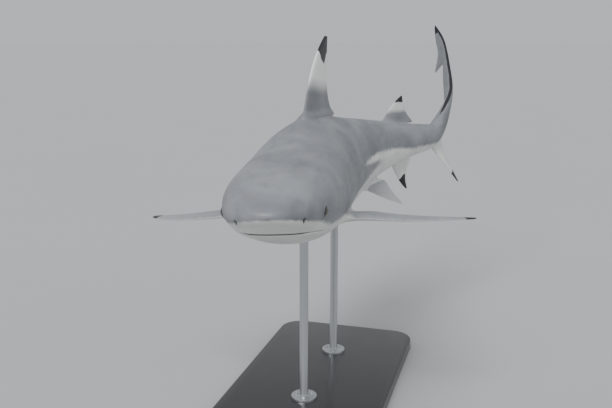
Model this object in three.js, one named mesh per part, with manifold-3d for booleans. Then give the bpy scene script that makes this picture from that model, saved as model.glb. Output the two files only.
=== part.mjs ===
// A life-size blacktip reef shark, swimming with its head low and straight and its tail swept to its left, on a
// plain two-rod stand. Millimetres, +Z up. The shark faces -Y and its left side is towards +X. The origin is the
// middle of the stand's underside.
//
// The shark is drawn straight first: `at` is the distance behind the snout, `out` to its left and `up` above its
// axis, all as shares of the total length. place() then bends every point along the backbone.
import * as THREE from "three";
import { mergeVertices } from "three/addons/utils/BufferGeometryUtils.js";
import Module from "manifold-3d";

const wasm = await Module();
wasm.setup();

// ---------------------------------------------------------------- driving sizes

const totalLength = 1400;
const seam = 0.3; // clear gap between neighbouring pieces
const groove = 4; // depth of the gill slits and nostrils

// Half width, back height and belly depth of the body, and how peaked its back and underside are: 1 is an
// ellipse, less is squarer.
const bodyStations = [
  { at: 0, side: 0, back: 0, belly: 0, top: 0.9, under: 0.72 }, // snout
  { at: 0.004, side: 0.0148, back: 0.0062, belly: 0.0058, top: 0.9, under: 0.72 },
  { at: 0.03, side: 0.0385, back: 0.0172, belly: 0.0138, top: 0.9, under: 0.76 }, // nostrils
  { at: 0.075, side: 0.0498, back: 0.0305, belly: 0.0268, top: 0.9, under: 0.9 }, // eyes
  { at: 0.12, side: 0.0588, back: 0.0415, belly: 0.0405, top: 0.9, under: 0.95 }, // jaw corners
  { at: 0.2, side: 0.0645, back: 0.0565, belly: 0.0525, top: 0.94, under: 0.93 }, // gills
  { at: 0.31, side: 0.0655, back: 0.0765, belly: 0.061, top: 1.06, under: 0.92 }, // first dorsal fin
  { at: 0.42, side: 0.0598, back: 0.0715, belly: 0.061, top: 1.04, under: 0.94 },
  { at: 0.52, side: 0.047, back: 0.058, belly: 0.052, top: 1, under: 0.96 }, // vent
  { at: 0.63, side: 0.0302, back: 0.0402, belly: 0.0356, top: 0.93, under: 1 }, // second dorsal fin
  { at: 0.7, side: 0.0202, back: 0.0285, belly: 0.0251, top: 0.92, under: 1 },
  { at: 0.757, side: 0.0145, back: 0.0215, belly: 0.0198, top: 0.92, under: 1 }, // root of the tail fin
];

// The upper lobe of the tail fin, from its root to its tip: blade depth across the lobe, half thickness of the
// muscle ridge, how far down the blade the ridge lies, and how much the blade is pinched below it.
const lobeStations = [
  { along: 0, depth: 0.0413, side: 0.0145, ridge: 0.52, pinch: 1 },
  { along: 0.15, depth: 0.0556, side: 0.0102, ridge: 0.34, pinch: 1.9 },
  { along: 0.3, depth: 0.0499, side: 0.006, ridge: 0.27, pinch: 2.6 },
  { along: 0.52, depth: 0.0451, side: 0.0042, ridge: 0.27, pinch: 2.6 },
  { along: 0.67, depth: 0.0372, side: 0.0036, ridge: 0.28, pinch: 2.4 },
  { along: 0.727, depth: 0.0278, side: 0.0032, ridge: 0.34, pinch: 2.2 }, // notch before the terminal lobe
  { along: 0.768, depth: 0.064, side: 0.0029, ridge: 0.2, pinch: 2.4 },
  { along: 0.825, depth: 0.0305, side: 0.0026, ridge: 0.27, pinch: 2.3 },
  { along: 0.9, depth: 0.0225, side: 0.0022, ridge: 0.28, pinch: 2.2 },
  { along: 1, depth: 0.003, side: 0.0009, ridge: 0.5, pinch: 1 },
];
const lobeRoot = { at: 0.757, up: 0.0215 };
const lobeBend = { at: 0.8494, up: 0.0973 };
const lobeTip = { at: 0.943, up: 0.1905 };
const lobeTilt = 36.4; // degrees that a cross-section of the lobe leans back
const lobeTiltDone = 0.32; // share of the lobe over which that lean grows

// The backbone's bends in degrees at shares of the length: to the left, upwards and rolling.
const yawBends = [
  [0, -2], [0.08, 3.5], [0.16, 7.6], [0.25, 8.2], [0.4, 17.8],
  [0.55, 31.5], [0.7, 48], [0.8, 23], [0.85, 0], [0.9, 1.4], [0.95, -24], [1, -30],
];
const pitchBends = [[0, -8], [0.15, -6.8], [0.3, -1.1], [0.5, 1.1], [0.75, 1.5], [1, -3.5]];
const rollBends = [
  [0, 1.7], [0.35, 0.9], [0.69, 3.4], [0.75, -5.2], [0.82, -8.4], [0.88, -5.6], [0.95, -1.7], [1, 0],
];
const axisHeight = 430; // of the backbone above the floor, over the middle of the stand

// Fins. `from` and `base` place the root, `rear` is the free rear tip behind it and `rearUp` its height as a share
// of the span, `tip` and `span` place the apex. `hollow` is how far the hind edge is scooped out, and a low
// `scoop` puts the deepest place nearer the root. `straight` is how much of the front edge's sweep is even.
// `angle` is where round the body the root lies, in degrees, and `lift` raises it. `droop` is how far a fin slopes
// down from level and `bow` how far its tip sags. `incidence` is how far its hind edge is let down at the root,
// in degrees, and `twist` how far it is turned back up by the tip.
const firstDorsal = {
  from: 0.302, base: 0.108, rear: 0.058, rearUp: 0.03, tip: 0.4385, span: 0.109, tipChord: 0.013,
  hollow: 0.026, scoop: 0.55, straight: 0.62, thick: 0.0062, tipThick: 0.002, angle: 90, sides: 16, levels: 12,
};
const secondDorsal = {
  from: 0.622, base: 0.05, rear: 0.032, rearUp: 0.06, tip: 0.6765, span: 0.044, tipChord: 0.004,
  hollow: 0.009, straight: 0.8, thick: 0.0034, tipThick: 0.0008, angle: 90, sides: 12, levels: 9,
};
const analFin = {
  from: 0.642, base: 0.04, rear: 0.013, rearUp: 0.12, tip: 0.681, span: 0.0505, tipChord: 0.004,
  hollow: 0.011, straight: 0.75, thick: 0.0034, tipThick: 0.0008, angle: -90, sides: 12, levels: 9,
};
const lowerLobe = {
  from: 0.756, base: 0.056, rear: 0.001, rearUp: 0.02, tip: 0.812, span: 0.0765, tipChord: 0.006,
  hollow: 0.005, straight: 0.9, thick: 0.0042, tipThick: 0.0011, angle: -90, sides: 14, levels: 10,
};
const pectoralFin = {
  from: 0.209, base: 0.062, rear: 0.046, rearUp: 0.17, tip: 0.324, span: 0.154, tipChord: 0.008,
  hollow: 0.02, straight: 0.72, thick: 0.0053, tipThick: 0.001, angle: -27,
  incidence: 4, twist: 5.5, sides: 16, levels: 14,
};
const pectoralLeft = { ...pectoralFin, lift: 0.0018, bow: -0.0044 };
const pectoralRight = { ...pectoralFin, lift: 0.0039, bow: 0.002 };
const pelvicFin = {
  from: 0.497, base: 0.05, rear: 0.024, rearUp: 0.25, tip: 0.556, span: 0.056, tipChord: 0.007,
  hollow: 0.004, straight: 0.85, thick: 0.0042, tipThick: 0.0009, angle: -54,
  sides: 12, levels: 8,
};
const droop = {
  pectoralLeft: 6.9,
  pectoralRight: 9.7,
  pelvicLeft: 40,
  pelvicRight: 40,
  lowerLobe: 55, // it flexes to the shark's left
};
const finSink = 0.014; // how far a fin's root runs on inside the body before it is cut to it

// Head.
const eye = { at: 0.0785, angle: -3, radius: 11.5, proud: 3.1 };
const mouth = {
  front: 0.0622, corner: 0.114, halfWidth: 0.0455, bend: 2.5, roof: -0.012, back: 0.14, gap: 1.2,
};
const nostril = { at: 0.024, angle: -32, radius: 6 };
const gills = { first: 0.168, last: 0.2145, count: 5, top: 0.02, bottom: -0.017, width: 1.6 };

// Where the body is parted, as shares of the length.
const headEnd = 0.222;
const trunkEnd = 0.56;

// Stand.
const base = { length: 520, width: 300, thick: 22, corner: 45, bevel: 3 };
const rod = { radius: 8, footRadius: 24, footThick: 5, cupRadius: 15, cupDrop: 14 };
const rodPlaces = { front: 0.3, rear: 0.46 };

const ringSides = 24;

// ---------------------------------------------------------------- curves

const mm = (share) => share * totalLength;
const radians = THREE.MathUtils.degToRad;

// A smooth curve through [x, y] points that never overshoots them, level beyond its ends.
function smoothCurve(points) {
  const last = points.length - 1;
  const step = points.slice(1).map((p, i) => p[0] - points[i][0]);
  const rise = step.map((h, i) => (points[i + 1][1] - points[i][1]) / h);
  const slope = points.map((p, i) => {
    if (i === 0) return rise[0];
    if (i === last) return rise[last - 1];
    if (rise[i - 1] * rise[i] <= 0) return 0;
    const before = 2 * step[i] + step[i - 1];
    const after = step[i] + 2 * step[i - 1];
    return (before + after) / (before / rise[i - 1] + after / rise[i]);
  });
  return (x) => {
    if (x <= points[0][0]) return points[0][1];
    if (x >= points[last][0]) return points[last][1];
    const i = points.findLastIndex((p) => p[0] <= x);
    const h = step[i];
    const t = (x - points[i][0]) / h;
    const ease = t * t * (3 - 2 * t);
    const lean = h * (slope[i] * t * (1 - t) * (1 - t) - slope[i + 1] * t * t * (1 - t));
    return points[i][1] * (1 - ease) + points[i + 1][1] * ease + lean;
  };
}

// Body sizes run smoothly in the square root of the distance, which rounds the snout.
function bodyCurve(key) {
  const curve = smoothCurve(bodyStations.map((s) => [Math.sqrt(s.at), s[key]]));
  return (at) => curve(Math.sqrt(Math.max(at, 0)));
}
const bodySide = bodyCurve("side");
const bodyBack = bodyCurve("back");
const bodyBelly = bodyCurve("belly");
const bodyTop = bodyCurve("top");
const bodyUnder = bodyCurve("under");

const lobeCurve = (key) => smoothCurve(lobeStations.map((s) => [s.along, s[key]]));
const lobeDepth = lobeCurve("depth");
const lobeSide = lobeCurve("side");
const lobeRidge = lobeCurve("ridge");
const lobePinch = lobeCurve("pinch");

// ---------------------------------------------------------------- the backbone

const yawAt = smoothCurve(yawBends);
const pitchAt = smoothCurve(pitchBends);
const rollAt = smoothCurve(rollBends);

// The backbone's directions at a share of the length: towards the tail, to the left and up.
function directions(at) {
  const yaw = radians(yawAt(at));
  const pitch = radians(pitchAt(at));
  const roll = radians(rollAt(at));
  const tailward = new THREE.Vector3(
    Math.sin(yaw) * Math.cos(pitch),
    Math.cos(yaw) * Math.cos(pitch),
    Math.sin(pitch),
  );
  const level = new THREE.Vector3(Math.cos(yaw), -Math.sin(yaw), 0);
  const plumb = level.clone().cross(tailward);
  const left = level.clone().multiplyScalar(Math.cos(roll)).addScaledVector(plumb, Math.sin(roll));
  const up = plumb.clone().multiplyScalar(Math.cos(roll)).addScaledVector(level, -Math.sin(roll));
  return { tailward, left, up };
}

const backboneSteps = 400;
const backbone = [new THREE.Vector3()];
for (let i = 0; i < backboneSteps; i++) {
  const { tailward } = directions((i + 0.5) / backboneSteps);
  backbone.push(backbone[i].clone().addScaledVector(tailward, mm(1 / backboneSteps)));
}

function backboneAt(at) {
  const x = THREE.MathUtils.clamp(at, 0, 1) * backboneSteps;
  const i = Math.min(Math.floor(x), backboneSteps - 1);
  return backbone[i].clone().lerp(backbone[i + 1], x - i);
}

const rodMiddle = backboneAt(rodPlaces.front).lerp(backboneAt(rodPlaces.rear), 0.5);
const standShift = new THREE.Vector3(-rodMiddle.x, -rodMiddle.y, axisHeight - rodMiddle.z);

// The straight shark's point, in shares of the length, in its place in the bent one.
function place(at, out, up) {
  const way = directions(at);
  return backboneAt(at)
    .add(standShift)
    .addScaledVector(way.left, mm(out))
    .addScaledVector(way.up, mm(up));
}

// A matrix that stands an upright piece at a point of the straight shark: X left, Y tailward, Z up.
function frameAt(at, out, up) {
  const way = directions(at);
  return new THREE.Matrix4()
    .makeBasis(way.left, way.tailward, way.up)
    .setPosition(place(at, out, up));
}

// ---------------------------------------------------------------- solids

function geometryToSolid(geometry) {
  const bare = new THREE.BufferGeometry().setAttribute("position", geometry.getAttribute("position"));
  bare.setIndex(geometry.index);
  const merged = mergeVertices(bare, 1e-4);
  const corners = [];
  for (let i = 0; i < merged.index.count; i += 3) {
    const [a, b, c] = [0, 1, 2].map((k) => merged.index.getX(i + k));
    if (a !== b && b !== c && c !== a) corners.push(a, b, c);
  }
  const build = (triangles) =>
    new wasm.Manifold(
      new wasm.Mesh({
        numProp: 3,
        vertProperties: new Float32Array(merged.attributes.position.array),
        triVerts: new Uint32Array(triangles),
      }),
    );
  const solid = build(corners);
  return solid.volume() < 0 ? build(corners.reverse()) : solid;
}

function solidToGeometry(solid) {
  const { numProp, numVert, vertProperties, triVerts } = solid.getMesh();
  const positions = new Float32Array(numVert * 3);
  for (let i = 0; i < numVert; i++) {
    positions.set(vertProperties.subarray(i * numProp, i * numProp + 3), i * 3);
  }
  const geometry = new THREE.BufferGeometry();
  geometry.setAttribute("position", new THREE.BufferAttribute(positions, 3));
  geometry.setIndex(new THREE.BufferAttribute(triVerts, 1));
  geometry.computeVertexNormals();
  return geometry;
}

// Moves every vertex of a geometry by a function of its place.
function reshape(geometry, move) {
  const position = geometry.getAttribute("position");
  const point = new THREE.Vector3();
  for (let i = 0; i < position.count; i++) {
    const { x, y, z } = move(point.fromBufferAttribute(position, i));
    position.setXYZ(i, x, y, z);
  }
  return geometry;
}

// ---------------------------------------------------------------- body and upper lobe

// A cross-section of the body, or of the lobe past the body's end: its centre, its lean and its sizes.
function bodyRing(at) {
  return {
    at, up: 0, lean: 0, side: bodySide(at), back: bodyBack(at), belly: bodyBelly(at),
    top: bodyTop(at), under: bodyUnder(at), pinch: 1,
  };
}

function lobeMargin(along) {
  const margin = new THREE.QuadraticBezierCurve(
    new THREE.Vector2(lobeRoot.at, lobeRoot.up),
    new THREE.Vector2(lobeBend.at, lobeBend.up),
    new THREE.Vector2(lobeTip.at, lobeTip.up),
  );
  return margin.getPoint(along);
}

function lobeRing(along) {
  const edge = lobeMargin(along);
  const settled = THREE.MathUtils.smoothstep(along, 0, lobeTiltDone);
  const lean = radians(lobeTilt) * settled;
  const depth = lobeDepth(along);
  const back = depth * lobeRidge(along);
  return {
    at: edge.x + back * Math.sin(lean), up: edge.y - back * Math.cos(lean), lean,
    side: lobeSide(along), back, belly: depth - back,
    top: THREE.MathUtils.lerp(bodyTop(lobeRoot.at), 1, settled), under: 1, pinch: lobePinch(along),
  };
}

// A point of a cross-section, `turn` radians round from the left side over the back, `grow` mm further out.
function ringPoint(ring, turn, grow = 0) {
  const across = Math.cos(turn);
  const height = Math.sin(turn);
  const above = height > 0;
  const round = above ? ring.top : ring.under;
  const power = round * (above ? 1 : ring.pinch);
  const extra = grow / totalLength;
  const out = (ring.side + extra) * Math.sign(across) * Math.abs(across) ** power;
  const tall = (above ? ring.back : ring.belly) + extra;
  const up = tall * Math.sign(height) * Math.abs(height) ** round;
  return {
    at: ring.at - up * Math.sin(ring.lean),
    out,
    up: ring.up + up * Math.cos(ring.lean),
  };
}

const bodyRingCount = 32;
const bodyRings = [];
for (let i = 1; i < bodyRingCount; i++) {
  bodyRings.push(bodyRing(lobeRoot.at * (i / bodyRingCount) ** 1.35));
}
const lobeRingPlaces = [
  0, 0.07, 0.15, 0.22, 0.3, 0.4, 0.5, 0.6, 0.68, 0.727, 0.768, 0.825, 0.9, 0.95, 0.985,
];
const rings = [...bodyRings, ...lobeRingPlaces.map(lobeRing)];

// The whole body and upper lobe as one solid, `grow` mm fatter all over: a lathe of unit radius whose every ring
// is then drawn to its own cross-section.
function bodySolid(grow) {
  const profile = [
    new THREE.Vector2(0, -1),
    ...rings.map((ring, i) => new THREE.Vector2(1, i)),
    new THREE.Vector2(0, rings.length),
  ];
  const lathe = new THREE.LatheGeometry(profile, ringSides);
  const extra = grow / totalLength;
  reshape(lathe, ({ x, y, z }) => {
    if (y < 0) return place(0, 0, 0).addScaledVector(directions(0).tailward, -grow);
    const level = Math.round(y);
    if (level === rings.length) return place(lobeTip.at + extra, 0, lobeTip.up + extra);
    const point = ringPoint(rings[level], Math.atan2(z, x), grow);
    return place(point.at, point.out, point.up);
  });
  return geometryToSolid(lathe);
}

// ---------------------------------------------------------------- fins

function frontEdge(fin, height) {
  const sweep = fin.tip - fin.tipChord - fin.from;
  const h = Math.max(height, 0);
  return fin.from + sweep * (fin.straight * h + (1 - fin.straight) * h ** 3);
}

function hindEdge(fin, height) {
  const insertion = fin.from + fin.base;
  const rearTip = insertion + fin.rear;
  if (height <= 0) return insertion;
  if (height < fin.rearUp) return insertion + fin.rear * Math.sqrt(height / fin.rearUp);
  const g = (height - fin.rearUp) / (1 - fin.rearUp);
  return rearTip + (fin.tip - rearTip) * g - fin.hollow * Math.sin(Math.PI * g ** (fin.scoop ?? 0.8));
}

// Half thickness at a height: a fillet at the root, then a straight taper.
function finThickness(fin, height) {
  const h = Math.max(height, 0);
  const fillet = 1 + 0.8 * Math.exp(-h / 0.07);
  return (fin.thick * (1 - h) + fin.tipThick * h) * fillet;
}

// A point of a fin's cross-section at a height from 0 at the body to 1 at the tip; turn 0 is the front edge.
function finPoint(fin, side, slopeDown, height, turn, reach) {
  const front = frontEdge(fin, height);
  const hind = hindEdge(fin, height);
  const at = front + (hind - front) * (0.5 - 0.5 * reach * Math.cos(turn));
  const root = ringPoint(bodyRing(Math.min(at, lobeRoot.at)), radians(fin.angle));
  const slope = radians(slopeDown === undefined ? fin.angle : -slopeDown);
  const far = height < 0 ? finSink * height * 10 : fin.span * height;
  const thick = finThickness(fin, height) * reach * Math.sin(turn) * (0.78 + 0.3 * Math.cos(turn));
  const bow = (fin.bow ?? 0) * Math.max(height, 0) ** 2;
  const tilt = (fin.incidence ?? 0) - (fin.twist ?? 0) * Math.max(height, 0);
  const letDown = (at - front) * Math.tan(radians(tilt)) - (fin.lift ?? 0);
  return {
    at,
    out: side * (root.out + far * Math.cos(slope) - thick * Math.sin(slope)),
    up: root.up + far * Math.sin(slope) + thick * Math.cos(slope) - bow - letDown,
  };
}

// A fin is a drum whose levels are drawn to its cross-sections. The first level is sunk in the body.
function finSolid(fin, side = 1, slopeDown = undefined) {
  const drum = new THREE.CylinderGeometry(1, 1, fin.levels, fin.sides, fin.levels);
  reshape(drum, ({ x, y, z }) => {
    const level = Math.round(y + fin.levels / 2);
    const share = (level - 2) / (fin.levels - 2);
    const nearRoot = [-0.1, 0, fin.rearUp * 0.35, fin.rearUp];
    const height = level < nearRoot.length ? nearRoot[level] : levelHeight(fin, level, nearRoot.length, share);
    const point = finPoint(fin, side, slopeDown, height, Math.atan2(z, x), Math.hypot(x, z));
    return place(point.at, point.out, point.up);
  });
  return geometryToSolid(drum);
}

// Even levels above the rear tip, closing up a little towards the fin's tip.
function levelHeight(fin, level, first) {
  const g = (level - first + 1) / (fin.levels - first + 1);
  return fin.rearUp + (1 - fin.rearUp) * (1 - (1 - g) ** 1.25);
}

// ---------------------------------------------------------------- head

// The lower jaw's block: the mouth's arch seen from below, `grow` mm larger, cut off flat under the mouth's roof.
function jawBlock(grow) {
  const shape = new THREE.Shape();
  const archSteps = 16;
  const middle = (mouth.front + mouth.back) / 2;
  for (let i = 0; i <= archSteps; i++) {
    const across = -1 + (2 * i) / archSteps;
    const at = mouth.front + (mouth.corner - mouth.front) * Math.abs(across) ** mouth.bend;
    const x = mm(mouth.halfWidth * across) + Math.sign(across) * grow;
    const y = mm(at - middle) - grow;
    if (i === 0) shape.moveTo(x, y);
    else shape.lineTo(x, y);
  }
  shape.lineTo(mm(mouth.halfWidth) + grow, mm(mouth.back - middle) + grow);
  shape.lineTo(-mm(mouth.halfWidth) - grow, mm(mouth.back - middle) + grow);
  const tall = mm(0.08);
  const block = new THREE.ExtrudeGeometry(shape, { depth: tall, bevelEnabled: false, curveSegments: 1 });
  block.translate(0, 0, -tall + grow);
  block.applyMatrix4(frameAt(middle, 0, mouth.roof));
  return geometryToSolid(block);
}

function gillCutter(side) {
  let cutter = null;
  for (let i = 0; i < gills.count; i++) {
    const at = gills.first + ((gills.last - gills.first) * i) / (gills.count - 1);
    const shorter = 1 - 0.06 * i;
    const slab = new THREE.BoxGeometry(mm(0.06), gills.width, mm(gills.top - gills.bottom) * shorter);
    slab.applyMatrix4(frameAt(at, side * bodySide(at), (gills.top + gills.bottom) / 2));
    const slot = geometryToSolid(slab);
    cutter = cutter ? cutter.add(slot) : slot;
  }
  return cutter;
}

// A round pit straight into the skin at an angle round the body.
function pit(spot, side, radius) {
  const point = ringPoint(bodyRing(spot.at), radians(spot.angle));
  const drum = new THREE.CylinderGeometry(radius, radius, mm(0.03), 12);
  drum.rotateZ(Math.PI / 2 + side * radians(spot.angle));
  drum.applyMatrix4(frameAt(spot.at, side * point.out, point.up));
  return geometryToSolid(drum);
}

function eyeball(side, grow) {
  const point = ringPoint(bodyRing(eye.at), radians(eye.angle));
  const inward = (eye.radius - eye.proud) / totalLength;
  const ball = new THREE.SphereGeometry(eye.radius + grow, 16, 10);
  const centre = place(eye.at, side * (point.out - inward), point.up);
  return geometryToSolid(ball.translate(centre.x, centre.y, centre.z));
}

// ---------------------------------------------------------------- stand

function rodFoot(at) {
  const foot = place(at, 0, 0);
  return new THREE.Vector2(foot.x, foot.y);
}

function standBase() {
  const front = rodFoot(rodPlaces.front);
  const rear = rodFoot(rodPlaces.rear);
  const x = base.width / 2 - base.bevel;
  const y = base.length / 2 - base.bevel;
  const r = base.corner;
  const outline = new THREE.Shape()
    .moveTo(-x + r, -y)
    .lineTo(x - r, -y)
    .absarc(x - r, -y + r, r, -Math.PI / 2, 0)
    .absarc(x - r, y - r, r, 0, Math.PI / 2)
    .absarc(-x + r, y - r, r, Math.PI / 2, Math.PI)
    .absarc(-x + r, -y + r, r, Math.PI, (3 * Math.PI) / 2);
  const plate = new THREE.ExtrudeGeometry(outline, {
    depth: base.thick - 2 * base.bevel,
    bevelThickness: base.bevel,
    bevelSize: base.bevel,
    bevelSegments: 1,
    curveSegments: 6,
  });
  plate.translate(0, 0, base.bevel);
  plate.rotateZ(-Math.atan2(rear.x - front.x, rear.y - front.y));
  return geometryToSolid(plate);
}

// A rod with a flat foot and a cup that takes the belly. Its top is cut to the body.
function standRod(at) {
  const foot = rodFoot(at);
  const belly = place(at, 0, -bodyBelly(at)).z - base.thick;
  const top = belly + rod.cupRadius;
  const profile = [
    [0, 0],
    [rod.footRadius, 0],
    [rod.footRadius, rod.footThick - 1],
    [rod.footRadius - 1, rod.footThick],
    [rod.radius, rod.footThick],
    [rod.radius, belly - rod.cupDrop],
    [rod.cupRadius, belly],
    [rod.cupRadius, top],
    [0, top],
  ].map(([x, y]) => new THREE.Vector2(x, y));
  const turned = new THREE.LatheGeometry(profile, 24);
  turned.rotateX(Math.PI / 2);
  turned.translate(foot.x, foot.y, base.thick);
  return geometryToSolid(turned);
}

// ---------------------------------------------------------------- materials

const finish = (color, roughness, metalness = 0) =>
  new THREE.MeshStandardMaterial({ color, roughness, metalness });
const backSkin = finish(0x8b8d92, 0.55);
const bellySkin = finish(0xdfe0dc, 0.55);
const eyeGloss = finish(0x23262a, 0.12);
const blackLacquer = finish(0x1d1e20, 0.4);
const brushedSteel = finish(0xb9bbbd, 0.35, 1);

// ---------------------------------------------------------------- assembly

const shark = new THREE.Group();

function addPiece(name, solid, material) {
  const mesh = new THREE.Mesh(solidToGeometry(solid), material);
  mesh.name = name;
  shark.add(mesh);
}

// A block that holds everything behind a share of the length, `grow` mm larger.
function behind(at, grow) {
  const long = totalLength;
  const block = new THREE.BoxGeometry(long, long, long);
  block.translate(0, long / 2 - grow, 0);
  block.applyMatrix4(frameAt(at, 0, 0));
  return geometryToSolid(block);
}

const body = bodySolid(0);
const bodyRoom = bodySolid(seam); // what every fin and rod is cut back to
const bodyCore = bodySolid(-groove); // what the slits and pits leave whole

const afterHead = body.intersect(behind(headEnd, 0));
const trunk = afterHead.subtract(behind(trunkEnd, seam));
const afterTrunk = afterHead.intersect(behind(trunkEnd, 0));
const tailStalk = afterTrunk.subtract(behind(lobeRoot.at, seam));
const upperLobe = afterTrunk.intersect(behind(lobeRoot.at, 0));

let head = body.subtract(behind(headEnd, seam));
const jaw = head.intersect(jawBlock(0));
head = head.subtract(jawBlock(mouth.gap));
for (const side of [1, -1]) {
  const cuts = gillCutter(side).add(pit(nostril, side, nostril.radius)).subtract(bodyCore);
  head = head.subtract(cuts).subtract(eyeball(side, seam));
}

addPiece("head", head, backSkin);
addPiece("lower_jaw", jaw, bellySkin);
addPiece("trunk", trunk, backSkin);
addPiece("tail_stalk", tailStalk, backSkin);
addPiece("caudal_upper_lobe", upperLobe, backSkin);

addPiece("caudal_lower_lobe", finSolid(lowerLobe, 1, droop.lowerLobe).subtract(bodyRoom), backSkin);

const singleFins = {
  first_dorsal_fin: firstDorsal,
  second_dorsal_fin: secondDorsal,
  anal_fin: analFin,
};
for (const [name, fin] of Object.entries(singleFins)) {
  addPiece(name, finSolid(fin).subtract(bodyRoom), backSkin);
}

addPiece("pectoral_fin_left", finSolid(pectoralLeft, 1, droop.pectoralLeft).subtract(bodyRoom), backSkin);
addPiece("pectoral_fin_right", finSolid(pectoralRight, -1, droop.pectoralRight).subtract(bodyRoom), backSkin);
addPiece("pelvic_fin_left", finSolid(pelvicFin, 1, droop.pelvicLeft).subtract(bodyRoom), bellySkin);
addPiece("pelvic_fin_right", finSolid(pelvicFin, -1, droop.pelvicRight).subtract(bodyRoom), bellySkin);
addPiece("eye_left", eyeball(1, 0), eyeGloss);
addPiece("eye_right", eyeball(-1, 0), eyeGloss);

addPiece("stand_base", standBase(), blackLacquer);
addPiece("stand_rod_front", standRod(rodPlaces.front).subtract(bodyRoom), brushedSteel);
addPiece("stand_rod_rear", standRod(rodPlaces.rear).subtract(bodyRoom), brushedSteel);

export default shark;
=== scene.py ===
import math

import bmesh
import bpy
import numpy as np
from mathutils import Matrix, Vector


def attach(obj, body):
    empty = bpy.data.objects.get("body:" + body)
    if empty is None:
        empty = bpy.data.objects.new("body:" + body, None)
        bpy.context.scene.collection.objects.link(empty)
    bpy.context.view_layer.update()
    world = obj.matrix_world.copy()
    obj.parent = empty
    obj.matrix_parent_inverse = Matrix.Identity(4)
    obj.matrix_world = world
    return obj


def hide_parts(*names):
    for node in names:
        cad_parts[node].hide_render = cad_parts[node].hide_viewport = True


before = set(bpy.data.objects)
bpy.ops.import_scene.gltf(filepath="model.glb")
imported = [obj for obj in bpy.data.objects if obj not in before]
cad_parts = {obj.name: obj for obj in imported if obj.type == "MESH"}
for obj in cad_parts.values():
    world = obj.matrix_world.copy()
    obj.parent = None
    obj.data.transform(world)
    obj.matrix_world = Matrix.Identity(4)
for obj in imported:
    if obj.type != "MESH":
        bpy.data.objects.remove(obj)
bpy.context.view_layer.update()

# The shark is modelled straight: x to its left, y from the snout to the tail and z up, as shares of its
# length. Near the end every point is bent along the backbone into the stand's frame, in metres.

shark = {
    "length": 1.4,
    "axisHeight": 0.43,  # of the backbone above the floor, over the middle of the stand
    "rodPlaces": (0.3, 0.46),
    # the way the backbone runs at each share of the length, in degrees
    "yaw": [(0, -2), (0.08, 3.5), (0.16, 7.6), (0.25, 8.2), (0.4, 17.8), (0.55, 31.5),
            (0.7, 48), (0.8, 23), (0.85, 0), (0.9, 1.4), (0.95, -24), (1, -30)],
    "pitch": [(0, -8), (0.15, -6.8), (0.3, -1.1), (0.5, 1.1), (0.75, 1.5), (1, -3.5)],
    "roll": [(0, 1.7), (0.35, 0.9), (0.69, 3.4), (0.75, -5.2),
             (0.82, -8.4), (0.88, -5.6), (0.95, -1.7), (1, 0)],
    "steps": 400,
}


def smoothCurve(points):  # runs through (x, y) points without overshoot, level past both ends
    xs, ys = np.array(points, dtype=float).T
    step = np.diff(xs)
    rise = np.diff(ys) / step
    slope = np.concatenate(([rise[0]], np.zeros(len(rise) - 1), [rise[-1]]))
    for i in range(1, len(rise)):
        if rise[i - 1] * rise[i] > 0:
            before, after = 2 * step[i] + step[i - 1], step[i] + 2 * step[i - 1]
            slope[i] = (before + after) / (before / rise[i - 1] + after / rise[i])

    def curve(x):
        x = np.clip(x, xs[0], xs[-1])
        i = np.clip(np.searchsorted(xs, x, side="right") - 1, 0, len(step) - 1)
        t = (x - xs[i]) / step[i]
        ease = t * t * (3 - 2 * t)
        lean = step[i] * (slope[i] * t * (1 - t) ** 2 - slope[i + 1] * t * t * (1 - t))
        return ys[i] * (1 - ease) + ys[i + 1] * ease + lean

    return curve


def smoothStep(x, low, high):
    t = np.clip((x - low) / (high - low), 0, 1)
    return t * t * (3 - 2 * t)


bends = [smoothCurve(shark[key]) for key in ("yaw", "pitch", "roll")]


def directions(at):  # towards the tail, to the left and up, at shares of the length
    yaw, pitch, roll = (np.radians(bend(np.asarray(at, dtype=float))) for bend in bends)
    tailward = np.stack((np.sin(yaw) * np.cos(pitch), np.cos(yaw) * np.cos(pitch), np.sin(pitch)), -1)
    level = np.stack((np.cos(yaw), -np.sin(yaw), 0 * yaw), -1)
    plumb = np.cross(level, tailward)
    turnCos, turnSin = np.cos(roll)[..., None], np.sin(roll)[..., None]
    return tailward, level * turnCos + plumb * turnSin, plumb * turnCos - level * turnSin


stepPlaces = (np.arange(shark["steps"]) + 0.5) / shark["steps"]
backbone = np.vstack((np.zeros(3), np.cumsum(directions(stepPlaces)[0], axis=0)))
backbone *= shark["length"] / shark["steps"]


def backboneAt(at):
    x = np.clip(at, 0, 1) * shark["steps"]
    i = np.minimum(np.floor(x).astype(int), shark["steps"] - 1)
    return backbone[i] + (backbone[i + 1] - backbone[i]) * (x - i)[..., None]


rodMiddle = backboneAt(np.array(shark["rodPlaces"])).mean(axis=0)
standShift = np.array((-rodMiddle[0], -rodMiddle[1], shark["axisHeight"] - rodMiddle[2]))


def place(points):  # the straight shark's points, in shares of its length, bent into place
    points = np.asarray(points, dtype=float)
    at = points[..., 1]
    tailward, left, up = directions(at)
    aside = points[..., :1] * left + points[..., 2:] * up
    past = (at - np.clip(at, 0, 1))[..., None] * tailward
    return backboneAt(at) + standShift + shark["length"] * (aside + past)


print("backbone laid")


view = {
    "fromSnout": (0.032, -0.6457, 0.1597),  # shares of the length, in the stand's frame
    "lookDown": 12.89,
    "focalPixels": 765.1,
    "imageWidth": 612,
    "sensor": 36,
}


def addObject(name, data):
    added = bpy.data.objects.new(name, data)
    bpy.context.scene.collection.objects.link(added)
    return added


def addMesh(name, bm):  # uses the bmesh up
    mesh = bpy.data.meshes.new(name)
    bm.to_mesh(mesh)
    bm.free()
    return addObject(name, mesh)


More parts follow.
